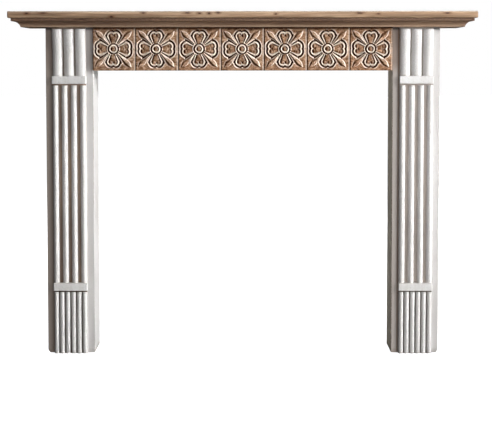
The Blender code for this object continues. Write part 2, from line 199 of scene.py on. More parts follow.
class Shader:
    """A material under construction: each method adds a node and gives its output socket."""

    def __init__(self, name):
        self.material = bpy.data.materials.new(name)
        self.material.use_nodes = True
        self.tree = self.material.node_tree
        self.surface = self.tree.nodes["Principled BSDF"]
        self.place = self.node("ShaderNodeTexCoord").outputs["Object"]

    def put(self, socket, value):
        """Links a socket or sets a plain value."""
        if isinstance(value, bpy.types.NodeSocket):
            self.tree.links.new(value, socket)
        else:
            socket.default_value = value

    def node(self, kind, **settings):
        made = self.tree.nodes.new(kind)
        for key, value in settings.items():
            setattr(made, key, value)
        return made

    def stretched(self, x, y, z, shift=(0, 0, 0)):
        """Coordinates multiplied along each axis, for grain that runs one way."""
        made = self.node("ShaderNodeMapping")
        self.put(made.inputs["Vector"], self.place)
        self.put(made.inputs["Location"], shift)
        self.put(made.inputs["Scale"], (x, y, z))
        return made.outputs["Vector"]

    def noise(self, vector, scale=1.0, detail=3.0, roughness=0.55, distortion=0.0):
        made = self.node("ShaderNodeTexNoise")
        self.put(made.inputs["Vector"], vector)
        self.put(made.inputs["Scale"], scale)
        self.put(made.inputs["Detail"], detail)
        self.put(made.inputs["Roughness"], roughness)
        self.put(made.inputs["Distortion"], distortion)
        return made.outputs["Fac"]

    def axis(self, name):
        made = self.node("ShaderNodeSeparateXYZ")
        self.put(made.inputs[0], self.place)
        return made.outputs[name]

    def attribute(self, name):
        made = self.node("ShaderNodeAttribute", attribute_name=name)
        return made.outputs["Fac"]

    def math(self, operation, first, second=0.0):
        made = self.node("ShaderNodeMath", operation=operation)
        self.put(made.inputs[0], first)
        self.put(made.inputs[1], second)
        return made.outputs[0]

    def between(self, value, low, high, to_low=0.0, to_high=1.0):
        """Maps low..high smoothly to to_low..to_high."""
        made = self.node("ShaderNodeMapRange", interpolation_type="SMOOTHSTEP")
        for socket, given in zip(made.inputs, (value, low, high, to_low, to_high)):
            self.put(socket, given)
        return made.outputs["Result"]

    def by_jamb(self, left, right):
        """One value left of the object's middle and another right of it."""
        return self.between(self.axis("X"), -0.001, 0.001, left, right)

    def mix(self, share, first, second, blend="MIX"):
        made = self.node("ShaderNodeMix", data_type="RGBA", blend_type=blend, clamp_factor=True)
        for socket, given in (("Factor_Float", share), ("A_Color", first), ("B_Color", second)):
            self.put(next(s for s in made.inputs if s.identifier == socket), given)
        return next(s for s in made.outputs if s.identifier == "Result_Color")

    def ramp(self, value, stops):
        made = self.node("ShaderNodeValToRGB")
        self.put(made.inputs["Fac"], value)
        elements = made.color_ramp.elements
        while len(elements) < len(stops):
            elements.new(0.5)
        for element, (position, colour) in zip(elements, stops):
            element.position = position
            element.color = colour
        return made.outputs["Color"]

    def bump(self, height, distance, strength):
        made = self.node("ShaderNodeBump")
        self.put(made.inputs["Height"], height)
        self.put(made.inputs["Distance"], distance)
        self.put(made.inputs["Strength"], strength)
        return made.outputs["Normal"]

    def finish(self, colour, roughness, normal, specular):
        """Wires up the surface and gives the material."""
        self.put(self.surface.inputs["Base Color"], colour)
        self.put(self.surface.inputs["Roughness"], roughness)
        self.put(self.surface.inputs["Normal"], normal)
        self.put(self.surface.inputs["Specular IOR Level"], specular)
        return self.material


# Dark brown for the pine's cracks, and for the painted shade line under the cornice
CRACK_AND_SHADE = srgb(62, 42, 30)
KNOT_HALO = srgb(124, 82, 52)
KNOT_HEART = srgb(48, 28, 18)
# Tile colours: a dark stain that also gives painted shade, and a pale rub that also gives a painted
# highlight
TILE_STAIN_AND_SHADE = srgb(48, 20, 8)
TILE_RUB_AND_HIGHLIGHT = srgb(255, 241, 226)
BRUSH_MARK = srgb(196, 186, 174)
FRECKLE = srgb(150, 134, 118)
BARE_WOOD = srgb(150, 118, 90)
# Painted shade for the base's narrow grooves
BASE_GROOVE_SHADE = srgb(70, 56, 46)
# Painted shadow in the tiles' brown, on the jambs' fronts beside the tiles
TILE_SIDE_SHADE = srgb(134, 96, 66)
# Greying of the jambs' fronts, on the left jamb as painted shade
FRONT_GREY_AND_SHADE = srgb(187, 185, 184)
# Greying of the jambs' outer sides
OUTER_SIDE_GREY = srgb(178, 173, 166)
# Painted shade in a brown tint, for the margins left of the carving
LEFT_MARGIN_SHADE = (1.0, 0.84, 0.72, 1.0)
# Painted shade in a brown tint, on the boards' sides that face left
LEFTWARD_SHADE = (0.97, 0.90, 0.76, 1.0)
PAINT_SHINE = 0.35

# Knots in the shelf's front edge: place along the shelf, height in the board's thickness, half length,
# half height
SHELF_KNOTS = (
    (-0.688, 0.64, 0.010, 0.0042),
    (-0.636, 0.72, 0.014, 0.0030),
    (-0.418, 0.18, 0.011, 0.0040),
    (-0.316, 0.72, 0.009, 0.0034),
    (-0.176, 0.70, 0.013, 0.0034),
    (-0.138, 0.66, 0.009, 0.0036),
    (-0.106, 0.66, 0.008, 0.0045),
    (-0.078, 0.72, 0.009, 0.0034),
    (0.106, 0.56, 0.007, 0.0030),
    (0.374, 0.68, 0.013, 0.0036),
    (0.432, 0.55, 0.007, 0.0026),
    (0.652, 0.66, 0.012, 0.0030),
)


def pine(name, dark, middle, light, knots=(), grain_shift=(0, 0, 0), levels=(), depth=1.0):
    """Reclaimed pine with its grain along X: rings, fibres, knots and open grain.

    Each of levels is (low, high, share_at_low, share_at_high, colour), a band of painted light and
    shade that follows Z and reaches back from the front edge by depth.
    """
    s = Shader(name)
    warp = s.noise(s.stretched(2.2, 14, 14, grain_shift), detail=2.0)
    rings_at = s.stretched(1.1, 42, 42, grain_shift)
    rings = s.noise(rings_at, scale=1.6, detail=4.0, roughness=0.62, distortion=0.9)
    bands = s.math("ADD", s.math("MULTIPLY", rings, 0.75), s.math("MULTIPLY", warp, 0.35))
    colour = s.ramp(bands, [(0.36, dark), (0.53, middle), (0.70, light)])
    fibre = s.noise(s.stretched(14, 620, 620, grain_shift), detail=3.0, roughness=0.7)
    colour = s.mix(0.30, colour, s.ramp(fibre, [(0.30, dark), (0.72, light)]))
    patches = s.noise(s.stretched(3.5, 9, 60, (1.7, 0.4, 0.2)), detail=3.0, roughness=0.6)
    colour = s.mix(s.between(patches, 0.52, 0.70, 0.0, 0.62), colour, dark)
    bleached = s.noise(s.stretched(5.0, 12, 90, (0.3, 2.1, 1.2)), detail=3.0, roughness=0.6)
    colour = s.mix(s.between(bleached, 0.56, 0.72, 0.0, 0.55), colour, light)
    crack = s.noise(s.stretched(5.5, 160, 210, grain_shift), detail=2.0, roughness=0.4)
    crack = s.between(crack, 0.66, 0.72)
    colour = s.mix(s.math("MULTIPLY", crack, 0.75), colour, CRACK_AND_SHADE)
    height = s.math("ADD", s.math("MULTIPLY", fibre, 0.35), s.math("MULTIPLY", rings, 0.65))
    height = s.math("SUBTRACT", height, s.math("MULTIPLY", crack, 0.8))
    for x, level, half_length, half_height in knots:
        z = SHELF_UNDERSIDE + SHELF_THICKNESS * level
        away = s.node("ShaderNodeMapping", vector_type="TEXTURE")
        s.put(away.inputs["Vector"], s.place)
        s.put(away.inputs["Location"], (x, FRONT_EDGE, z))
        s.put(away.inputs["Scale"], (half_length, 0.030, half_height))
        length = s.node("ShaderNodeVectorMath", operation="LENGTH")
        s.put(length.inputs[0], away.outputs["Vector"])
        ragged = s.noise(s.stretched(160, 60, 420), detail=2.0)
        reach = s.math("ADD", length.outputs["Value"], s.math("MULTIPLY", ragged, 0.9))
        halo = s.between(reach, 1.1, 2.3, 0.62, 0.0)
        core = s.between(reach, 0.7, 1.25, 0.92, 0.0)
        colour = s.mix(halo, colour, KNOT_HALO)
        colour = s.mix(core, colour, KNOT_HEART)
        height = s.math("SUBTRACT", height, s.math("MULTIPLY", core, 0.5))
    # Bands of painted light and shade along Z, reaching back from the front edge by depth; worn here is the
    # share of that painted colour
    for low, high, share_at_low, share_at_high, level_colour in levels:
        worn = s.between(s.axis("Z"), low, high, share_at_low, share_at_high)
        speck = s.noise(s.stretched(170, 500, 500), detail=2.0)
        worn = s.math("MULTIPLY", worn, s.between(speck, 0.34, 0.60, 0.45, 1.0))
        forward = s.between(s.axis("Y"), FRONT_EDGE + depth, FRONT_EDGE + 1.6 * depth, 1.0, 0.0)
        worn = s.math("MULTIPLY", worn, forward)
        colour = s.mix(worn, colour, level_colour)
    roughness = s.between(bands, 0.3, 0.8, 0.74, 0.54)
    normal = s.bump(height, 0.0006, 0.55)
    return s.finish(colour, roughness, normal, 0.22)


def carved_pine(name, tint):
    """A carved tile's wood: stained dark in the cuts, brown on the ground and sanded pale on the ridges,
    with painted shade on cuts that face left and a painted highlight on slopes that face right.
    """
    s = Shader(name)
    grain = s.noise(s.stretched(60, 110, 110), detail=4.0, roughness=0.70, distortion=0.4)
    fibre = s.noise(s.stretched(160, 520, 420), detail=2.0, roughness=0.7)
    ground = s.ramp(
        s.math("ADD", s.math("MULTIPLY", grain, 0.7), s.math("MULTIPLY", fibre, 0.3)),
        [(0.36, srgb(98, 68, 48)), (0.50, srgb(166, 128, 100)), (0.64, srgb(222, 188, 158))],
    )
    ground = s.mix(1.0, ground, tint, "MULTIPLY")
    speck = s.noise(s.stretched(300, 300, 300), detail=3.0, roughness=0.7)
    stain_and_shade = s.math("MULTIPLY", s.attribute("stain_and_shade"), s.between(speck, 0.2, 0.6, 0.80, 1.0))
    colour = s.mix(stain_and_shade, ground, TILE_STAIN_AND_SHADE)
    wiped = s.noise(s.stretched(60, 60, 60), detail=3.0, roughness=0.6)
    rub_and_highlight = s.math("MULTIPLY", s.attribute("rub_and_highlight"), s.between(wiped, 0.30, 0.60, 0.66, 1.0))
    colour = s.mix(rub_and_highlight, colour, TILE_RUB_AND_HIGHLIGHT)
    roughness = s.between(rub_and_highlight, 0.0, 1.0, 0.55, 0.72)
    height = s.math("ADD", s.math("MULTIPLY", grain, 0.5), s.math("MULTIPLY", speck, 0.5))
    return s.finish(colour, roughness, s.bump(height, 0.0006, 0.5), 0.10)


def worn_paint(s, wax_and_shade, wear):
    """Distressed white paint on s: umber wax left in the recesses, which also stands for painted shade, and
    wood showing on the worn edges.
    """
    cloud = s.noise(s.stretched(7, 7, 3.5), detail=4.0, roughness=0.6)
    streak = s.noise(s.stretched(150, 150, 2.4), detail=2.0, roughness=0.5)
    speck = s.noise(s.stretched(300, 300, 260), detail=3.0, roughness=0.75)
    paint = s.ramp(cloud, [(0.36, srgb(230, 227, 224)), (0.62, srgb(242, 241, 240))])
    brushed = s.between(streak, 0.40, 0.72, 0.0, 0.14)
    paint = s.mix(brushed, paint, BRUSH_MARK)
    freckle = s.between(speck, 0.60, 0.70, 0.0, 0.34)
    paint = s.mix(freckle, paint, FRECKLE)
    ragged = s.math("ADD", wax_and_shade, s.math("MULTIPLY", s.math("SUBTRACT", speck, 0.5), 0.12))
    ragged = s.math("ADD", ragged, s.math("MULTIPLY", s.math("SUBTRACT", streak, 0.5), 0.06))
    wax = s.ramp(cloud, [(0.35, srgb(116, 86, 60)), (0.65, srgb(158, 128, 98))])
    colour = s.mix(s.between(ragged, 0.25, 0.95, 0.0, 0.85), paint, wax)
    bare = s.math("MULTIPLY", wear, s.between(speck, 0.40, 0.56))
    bare = s.math("MULTIPLY", bare, s.between(cloud, 0.42, 0.62))
    colour = s.mix(s.math("MULTIPLY", bare, 0.8), colour, BARE_WOOD)
    height = s.math("ADD", s.math("MULTIPLY", streak, 0.2), s.math("MULTIPLY", speck, 0.4))
    height = s.math("SUBTRACT", height, s.math("MULTIPLY", bare, 0.5))
    roughness = s.between(cloud, 0.3, 0.7, 0.34, 0.46)
    return colour, roughness, s.bump(height, 0.0004, 0.10)


def reed_paint(name):
    """Paint for the carved pieces, whose mesh says how much wax and painted shade each point has and how
    worn it is.
    """
    s = Shader(name)
    base_end = (BASE_HEIGHT, BASE_HEIGHT + 0.001)
    # Wax and painted shade heavier on the left jamb than on the right one
    wax_and_shade = s.math("MULTIPLY", s.attribute("wax_and_shade"), s.by_jamb(0.94, 0.68))
    wax_and_shade = s.math("MULTIPLY", wax_and_shade, s.between(s.axis("Z"), *base_end, 0.94, 1.0))
    colour, roughness, normal = worn_paint(s, wax_and_shade, s.attribute("wear"))
    # Painted shade: the base's deepest grooves darker, where shade falls in them
    base_groove_shade = s.between(s.axis("Z"), *base_end, 0.75, 0.0)
    base_groove_shade = s.math("MULTIPLY", base_groove_shade, s.between(s.attribute("wax_and_shade"), 0.50, 0.95))
    colour = s.mix(base_groove_shade, colour, BASE_GROOVE_SHADE)
    return s.finish(colour, roughness, normal, PAINT_SHINE)


def board_paint(name):
    """Paint for the jambs' boards: wax and painted shade where the carved front meets them, painted shade
    and greying on the fronts and sides, raw wood inside the box.
    """
    s = Shader(name)
    outward = s.math("MULTIPLY", s.math("SIGN", s.axis("X")), JAMB_CENTRE)
    from_centre = s.math("SUBTRACT", s.axis("X"), outward)
    off_centre = s.math("ABSOLUTE", from_centre)
    front = s.between(s.axis("Y"), JAMB_FRONT + 0.0002, JAMB_FRONT + 0.0010, 1.0, 0.0)
    half, inside_half = JAMB_WIDTH / 2, JAMB_WIDTH / 2 - JAMB_BOARD

    # Wax with painted shade beside the carving, wide on its left and widest on the left jamb, narrow on its
    # right; darker towards the floor; wood showing on the front arrises
    reach = s.by_jamb(-BAND_HALF - 0.016, -BAND_HALF - 0.009)
    left_of_carving = s.between(from_centre, reach, -BAND_HALF - 0.001)
    right_of_carving = s.between(from_centre, BAND_HALF, BAND_HALF + 0.004, 0.30, 0.0)
    on_left = s.between(from_centre, -0.001, 0.001, 1.0, 0.0)
    on_right = s.between(from_centre, -0.001, 0.001)
    beside = s.math("MULTIPLY", left_of_carving, on_left)
    beside = s.math("ADD", beside, s.math("MULTIPLY", right_of_carving, on_right))
    foot = s.between(s.axis("Z"), 0.004, 0.030, 0.55, 0.0)
    wax_and_shade = s.math("MAXIMUM", s.math("MULTIPLY", beside, front), foot)
    near_front = s.between(s.axis("Y"), JAMB_FRONT + 0.0010, JAMB_FRONT + 0.0040, 1.0, 0.0)
    wear = s.math("MULTIPLY", s.between(off_centre, half - 0.0030, half - 0.0010), near_front)
    colour, roughness, normal = worn_paint(s, wax_and_shade, wear)

    # Painted shadow in the tiles' brown beside the first tile, greying on the fronts, and painted shade on
    # the margins
    beside_tile_shade = s.between(s.axis("Z"), OPENING_HEIGHT - 0.020, OPENING_HEIGHT + 0.030, 0.0, 0.62)
    short_of_right = s.between(s.axis("X"), JAMB_CENTRE, JAMB_CENTRE + 0.001, 1.0, 0.0)
    beside_tile_shade = s.math("MULTIPLY", beside_tile_shade, short_of_right)
    colour = s.mix(s.math("MULTIPLY", beside_tile_shade, front), colour, TILE_SIDE_SHADE)
    # The fronts greyed: the left jamb's whole front as painted shade, the right jamb's lightly on its left
    # margin and more from its carving rightwards
    inner_edge = JAMB_CENTRE - BAND_HALF
    right_grey = s.between(s.axis("X"), inner_edge - 0.001, inner_edge, 0.14, 0.60)
    right_grey = s.math("MULTIPLY", right_grey, s.by_jamb(0.0, 1.0))
    grey_and_shade = s.math("ADD", right_grey, s.by_jamb(0.72, 0.0))
    colour = s.mix(s.math("MULTIPLY", grey_and_shade, front), colour, FRONT_GREY_AND_SHADE)
    # Painted shade in a brown tint on the margins left of the carving, stronger on the left jamb
    left_margin_shade = s.between(from_centre, -BAND_HALF - 0.001, -BAND_HALF, 1.0, 0.0)
    left_margin_shade = s.math("MULTIPLY", left_margin_shade, s.by_jamb(0.90, 0.50))
    colour = s.mix(s.math("MULTIPLY", left_margin_shade, front), colour, LEFT_MARGIN_SHADE, "MULTIPLY")

    # Painted shade in a brown tint on the sides that face left, both outer sides greyer, then a painted
    # shade line under the cornice
    leftward = s.between(from_centre, -half + 0.0004, -half + 0.0012, 1.0, 0.0)
    colour = s.mix(leftward, colour, LEFTWARD_SHADE, "MULTIPLY")
    outer = s.math("MULTIPLY", from_centre, s.math("SIGN", s.axis("X")))
    outer = s.between(outer, half - 0.0010, half - 0.0004, 0.0, 0.60)
    colour = s.mix(outer, colour, OUTER_SIDE_GREY)
    # Painted shade: a dark line along the top of the boards' fronts, where the cornice's shadow falls
    under_cornice_shade = s.between(s.axis("Z"), JAMB_HEIGHT - 0.012, JAMB_HEIGHT - 0.003, 0.0, 0.85)
    colour = s.mix(s.math("MULTIPLY", under_cornice_shade, front), colour, CRACK_AND_SHADE)

    # Raw wood inside
    inside = s.between(off_centre, inside_half, inside_half + 0.0004, 1.0, 0.0)
    back_of_front = JAMB_FRONT + JAMB_BOARD
    behind = s.between(s.axis("Y"), back_of_front - 0.0006, back_of_front - 0.0002)
    raw_grain = s.noise(s.stretched(60, 60, 2.4), detail=4.0, roughness=0.65, distortion=0.8)
    raw = s.ramp(raw_grain, [(0.34, srgb(150, 112, 76)), (0.66, srgb(198, 162, 120))])
    colour = s.mix(s.math("MULTIPLY", inside, behind), colour, raw)
    return s.finish(colour, roughness, normal, PAINT_SHINE)


def waves(seed, count, shortest, longest):
    """A smooth random function of one length, between about -1 and 1."""
    rng = np.random.default_rng(seed)
    lengths = np.exp(rng.uniform(math.log(shortest), math.log(longest), count))
    phases = rng.uniform(0, math.tau, count)

    def wave(t):
        total = sum(np.sin(math.tau * t / w + p) for w, p in zip(lengths, phases))
        return total / math.sqrt(count) / 1.4

    return wave


def add_piece(name, verts, faces, material, node, values=None, sharp=40.0):
    """Makes a mesh piece in world coordinates that stands for one CAD node."""
    mesh = bpy.data.meshes.new(name)
    mesh.from_pydata([tuple(v) for v in np.asarray(verts, float).tolist()], [], faces)
    mesh.update()
    for key, numbers in (values or {}).items():
        layer = mesh.attributes.new(key, "FLOAT", "POINT")
        layer.data.foreach_set("value", np.asarray(numbers, np.float32).ravel())
    mesh.materials.append(material)
    mesh.shade_smooth()
    mesh.set_sharp_from_angle(angle=math.radians(sharp))
    piece = bpy.data.objects.new(name, mesh)
    bpy.context.scene.collection.objects.link(piece)
    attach(piece, "root")
    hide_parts(node)


def lofted(rings):
    """Vertices and outward faces of a closed solid through rings, an array of (station, point, xyz)."""
    stations, count, _ = rings.shape
    verts = rings.reshape(-1, 3)
    faces = []
    for k in range(stations - 1):
        for i in range(count):
            j = (i + 1) % count
            a, b = k * count + i, k * count + j
            faces.append((a, b, b + count, a + count))
    last = (stations - 1) * count
    faces.append(tuple(range(count))[::-1])
    faces.append(tuple(range(last, last + count)))
    # The first side face tells whether the ring runs the right way round
    middle = verts.mean(axis=0)
    a, b, c, _ = (verts[i] for i in faces[0])
    if np.dot(np.cross(b - a, c - a), a - middle) < 0:
        faces = [face[::-1] for face in faces]
    return verts, faces


def rounded_section(low, high, radius, steps, arc=4):
    """A closed outline with round corners between two corners, with steps[0] and steps[1] cells a side."""
    (a0, b0), (a1, b1) = low, high
    outline = []
    corners = ((a1 - radius, b0 + radius, -90), (a1 - radius, b1 - radius, 0))
    corners += ((a0 + radius, b1 - radius, 90), (a0 + radius, b0 + radius, 180))
    for n, (a, b, start) in enumerate(corners):
        for i in range(arc + 1):
            turn = math.radians(start + 90 * i / arc)
            outline.append((a + radius * math.cos(turn), b + radius * math.sin(turn)))
        following = corners[(n + 1) % 4]
        turn = math.radians(start + 90)
        ahead = (following[0] + radius * math.cos(turn), following[1] + radius * math.sin(turn))
        cells = steps[1] if n % 2 == 0 else steps[0]
        here = outline[-1]
        for i in range(1, cells):
            outline.append(tuple(h + (f - h) * i / cells for h, f in zip(here, ahead)))
    return np.array(outline)


def worn_block(name, low, high, radius, steps, cell, dent, material, seed):
    """A board along X with round arrises, its surface worn a little uneven inside its CAD box."""
    low, high = np.array(low, float), np.array(high, float)
    section = rounded_section(low[1:], high[1:], radius, steps)
    centre = (low[1:] + high[1:]) / 2
    half = (high[1:] - low[1:]) / 2
    inner = np.linspace(low[0] + radius, high[0] - radius, max(2, int((high[0] - low[0]) / cell)))
    turns = np.radians([0, 22, 45, 68])
    xs = [low[0] + radius * (1 - math.cos(t)) for t in turns]
    insets = [radius * (1 - math.sin(t)) for t in turns]
    stations = list(zip(xs, insets)) + [(x, 0.0) for x in inner]
    stations += [(low[0] + high[0] - x, inset) for x, inset in zip(xs[::-1], insets[::-1])]
    field = [waves(seed + n, 7, 0.012, 0.30) for n in range(4)]
    around = np.arange(len(section)) / len(section)
    rings, wear, dirt = [], [], []
    corner = np.abs((section - centre) / half)
    edge_share = EDGE_BREADTH * radius / half.min()
    edge = np.clip((corner.min(axis=1) - 1 + edge_share) / edge_share, 0, 1)
    for x, inset in stations:
        shrink = (half - inset) / half
        ring = centre + (section - centre) * shrink
        wobble = field[0](x + around * 0.31) * 0.5 + field[1](x * 1.7 - around * 0.23) * 0.5
        bite = np.maximum(0.0, field[2](x * 0.8 + around * 0.11) - BITE_LEVEL) * edge
        depth = dent * np.clip(0.5 + 0.5 * wobble, 0, 1) + dent * BITE_DEPTH * bite
        towards = (centre - section) / np.linalg.norm(section - centre, axis=1)[:, None]
        away = np.sign(centre - section) * (corner > 0.97)
        ring = ring + np.where(away.any(axis=1)[:, None], away, towards) * depth[:, None]
        rings.append(np.column_stack([np.full(len(ring), x), ring]))
        wear.append(np.clip(edge * (0.2 + 0.3 * field[3](x + around)), 0, 1))
        dirt.append((1 - edge) * (0.0 if inset else FACE_DIRT))
    verts, faces = lofted(np.array(rings))
    values = {"wear": np.array(wear).ravel(), "wax_and_shade": np.array(dirt).ravel()}
    add_piece(name + "_worn", verts, faces, material, name, values)


def reeded_profile(reeds, crest, facets=18, floor_cells=4):
    """Points (x, projection, share of wax and painted shade) along a reeded front from left to right."""
    width = (reeds["width"] - (reeds["count"] - 1) * reeds["gap"]) / reeds["count"]
    floor = crest - reeds["height"]
    valley = NARROW_VALLEY if reeds["gap"] < NARROW_GAP else WIDE_VALLEY
    points = []
    for n in range(reeds["count"]):
        centre = -reeds["width"] / 2 + width / 2 + n * (width + reeds["gap"])
        for i in range(facets + 1):
            turn = math.pi * i / facets
            rise = math.sin(turn)
            # Full wax on the floors; more on each reed's left half than on its right half, as painted shade
            wax_and_shade_share = 1 - rise if turn < math.pi / 2 else max(0.0, 1 - 1.8 * rise)
            points.append((centre - width / 2 * math.cos(turn), floor + reeds["height"] * rise, wax_and_shade_share))
        if n < reeds["count"] - 1:
            for i in range(1, floor_cells):
                x = centre + width / 2 + reeds["gap"] * i / floor_cells
                points.append((x, floor - valley, 1.0))
    return np.array(points)


def reeded_piece(name, reeds, crest_at, bottom, top, cell, centre_x, seed, neck):
    """A carved run of reeds, finer than its solid, with slight hand-cut unevenness.

    neck is the height of a plain strip, set back above the reeds' cut ends.
    """
    reed_top = top - neck
    heights = np.linspace(bottom, reed_top, max(9, int((reed_top - bottom) / cell)))
    heights = np.append(heights, [reed_top + NECK_STEP, top])
    half = reeds["width"] / 2
    back_y = JAMB_FRONT - JOINT_GAP
    sway, swell = waves(seed, 6, 0.05, 0.5), waves(seed + 1, 6, 0.03, 0.4)
    rings, wax_and_shade, wear = [], [], []
    for z in heights:
        profile = reeded_profile(reeds, crest_at((z - bottom) / (top - bottom)))
        x, forward, wax_and_shade_share = profile.T
        end = min(abs(z - bottom), abs(reed_top - z)) / cell
        ease = REED_END_EASE * max(0.0, 1 - end)
        forward = forward - REED_UNEVENNESS * (1 + swell(z)) * (1 - wax_and_shade_share) - ease
        # The set-back neck gets full wax, as painted shade under the band or the cornice
        if z > reed_top:
            forward, wax_and_shade_share = np.full(len(x), NECK_PROJECTION), np.ones(len(x))
        x = x + REED_UNEVENNESS * sway(z)
        front = np.column_stack([x + centre_x, JAMB_FRONT - forward, np.full(len(x), z)])
        back = np.array([(centre_x + half, back_y, z), (centre_x - half, back_y, z)])
        rings.append(np.vstack([front, back]))
        # Back corners: light wax on the right side, heavy on the left side, as painted shade
        wax_and_shade.append(np.append(wax_and_shade_share, [0.2, 0.9]))
        crest_wear = np.clip((1 - wax_and_shade_share) * 1.6 - 1.0, 0, 1) * 0.35 + 0.5 * max(0.0, 1 - end)
        wear.append(np.append(crest_wear, [0.0, 0.0]))
    verts, faces = lofted(np.array(rings))
    values = {"wax_and_shade": np.array(wax_and_shade).ravel(), "wear": np.array(wear).ravel()}
    add_piece(name + "_carved", verts, faces, REED_PAINT, name, values)


def capital_crest(share):
    """Projection of the capital's reeds, which swell forward in an ogee."""
    t = min(1.0, max(0.0, (share - SWELL_START) / (SWELL_END - SWELL_START)))
    return REED_CREST + (CAPITAL_TOP_CREST - REED_CREST) * t * t * (3 - 2 * t)


def cornice_profile(cells=18):
    """Points (outward, height) of the cornice moulding with a fine cove and a rubbed lip."""
    bottom = JAMB_HEIGHT
    top = SHELF_UNDERSIDE - JOINT_GAP
    cove_bottom = bottom + COVE_LIP
    cove_top = top - FILLET_HEIGHT
    points = [(JOINT_GAP, bottom), (MOULD_FOOT - MOULD_EASE, bottom), (MOULD_FOOT, bottom + MOULD_EASE)]
    for i in range(cells + 1):
        turn = COVE_START + (math.pi / 2 - COVE_START) * i / cells
        outward = MOULD_FOOT + COVE_PROJECTION * (1 - math.cos(turn) / math.cos(COVE_START))
        rise = (math.sin(turn) - math.sin(COVE_START)) / (1 - math.sin(COVE_START))
        points.append((outward, cove_bottom + (cove_top - cove_bottom) * rise))
    points += [(MOULD_THICKNESS - MOULD_EASE, cove_top), (MOULD_THICKNESS, cove_top + MOULD_EASE)]
    points += [(MOULD_THICKNESS, top), (JOINT_GAP, top)]
    return np.array(points)


def cornice_mouldings(material):
    """The moulding's front length and its two returns, mitred at the corners."""
    out, z = cornice_profile().T
    mitre_gap = JOINT_GAP * math.sqrt(2)
    sway = waves(71, 6, 0.04, 0.5)

    def worn(along):
        """How far the visible face is rubbed back at a place along the moulding."""
        return MOULD_WEAR * (1 + sway(along + z * 3.0)) * (out > MOULD_FOOT * 0.8)

    rings = []
    for t in np.linspace(-1, 1, 240):
        y = CORE_FRONT - out + worn(t * CORE_HALF_LENGTH)
        rings.append(np.column_stack([t * (CORE_HALF_LENGTH + out), y, z]))
    verts, faces = lofted(np.array(rings))
    node = "cornice_mould_front"
    add_piece(node + "_fine", verts, faces, material, node, sharp=32.0)
    for side, sign in (("left", -1), ("right", 1)):
        rings = []
        for t in np.linspace(0, 1, 40):
            start = CORE_FRONT - out + mitre_gap
            x = sign * (CORE_HALF_LENGTH + out) - sign * worn(2.0 * sign + 0.25 * t)
            rings.append(np.column_stack([x, start + (BACK_PLANE - start) * t, z]))
        verts, faces = lofted(np.array(rings))
        node = f"cornice_mould_{side}"
        add_piece(node + "_fine", verts, faces, material, node, sharp=32.0)


def petal_distance(along, across, lobe_radius):
    """Signed distance to a petal's heart-shaped rim over arrays, negative inside."""
    across = np.abs(across)
    base_to_lobe = np.array((LOBE_ALONG - PETAL_BASE, LOBE_ACROSS - PETAL_BASE_HALF))
    reach = np.hypot(*base_to_lobe)
    lean = math.atan2(base_to_lobe[1], base_to_lobe[0]) + math.asin(lobe_radius / reach)
    beyond_side = -(along - PETAL_BASE) * math.sin(lean) + (across - PETAL_BASE_HALF) * math.cos(lean)
    notch_rise = math.sqrt(max(0.0, lobe_radius**2 - LOBE_ACROSS**2))
    size = math.hypot(LOBE_ACROSS, notch_rise)
    beyond_front = (along - LOBE_ALONG) * LOBE_ACROSS / size + (across - LOBE_ACROSS) * notch_rise / size
    beyond_lobe = (along - LOBE_ALONG) * math.cos(lean) + (across - LOBE_ACROSS) * math.sin(lean)
    body = np.maximum.reduce([beyond_side, beyond_front, beyond_lobe, PETAL_BASE - along])
    lobe = np.hypot(along - LOBE_ALONG, across - LOBE_ACROSS) - lobe_radius
    return np.minimum(body, lobe)


# Sections of the carving: distance from a petal's hollow, or radius, against height in millimetres
PETAL_SECTION = (
    (-0.200, 0.2),
    (-0.090, -0.4),
    (-0.040, -1.4),
    (-0.020, -1.4),
    (0.000, 0.0),
    (0.026, 3.0),
    (0.044, 3.6),
    (0.062, 3.3),
    (0.090, -0.6),
    (0.118, -3.6),
    (0.145, -3.6),
    (0.185, 0.8),
    (0.204, 1.6),
    (0.240, 0.0),
)
BOSS_SECTION = (
    (0.000, 1.0),
    (0.080, 0.4),
    (0.104, -0.8),
    (0.132, 2.2),
    (0.152, 3.6),
    (0.176, 3.4),
    (0.204, -1.2),
    (0.226, -3.8),
    (0.246, -3.4),
    (0.270, 1.0),
    (0.286, 2.0),
    (0.302, 1.6),
    (0.325, -0.8),
)
# Across a leaf, from its left edge at -1 to its right edge at 1
LEAF_SECTION = (
    (-1.00, -1.8),
    (-0.28, 3.6),
    (-0.12, 3.9),
    (0.25, 3.0),
    (0.60, 2.3),
    (0.78, 2.2),
    (1.00, -0.8),
)


def smooth_table(value, table):
    """Reads a section at an array of distances."""
    at, height = np.array(table).T
    return np.interp(value, at, height) / 1000


def blurred(field, passes):
    """Rounds a height field a little, as a carver's tools and sandpaper do."""
    for _ in range(passes):
        padded = np.pad(field, 1, mode="edge")
        around = padded[:-2, 1:-1] + padded[2:, 1:-1] + padded[1:-1, :-2] + padded[1:-1, 2:]
        field = field * 0.5 + around * 0.125
    return field


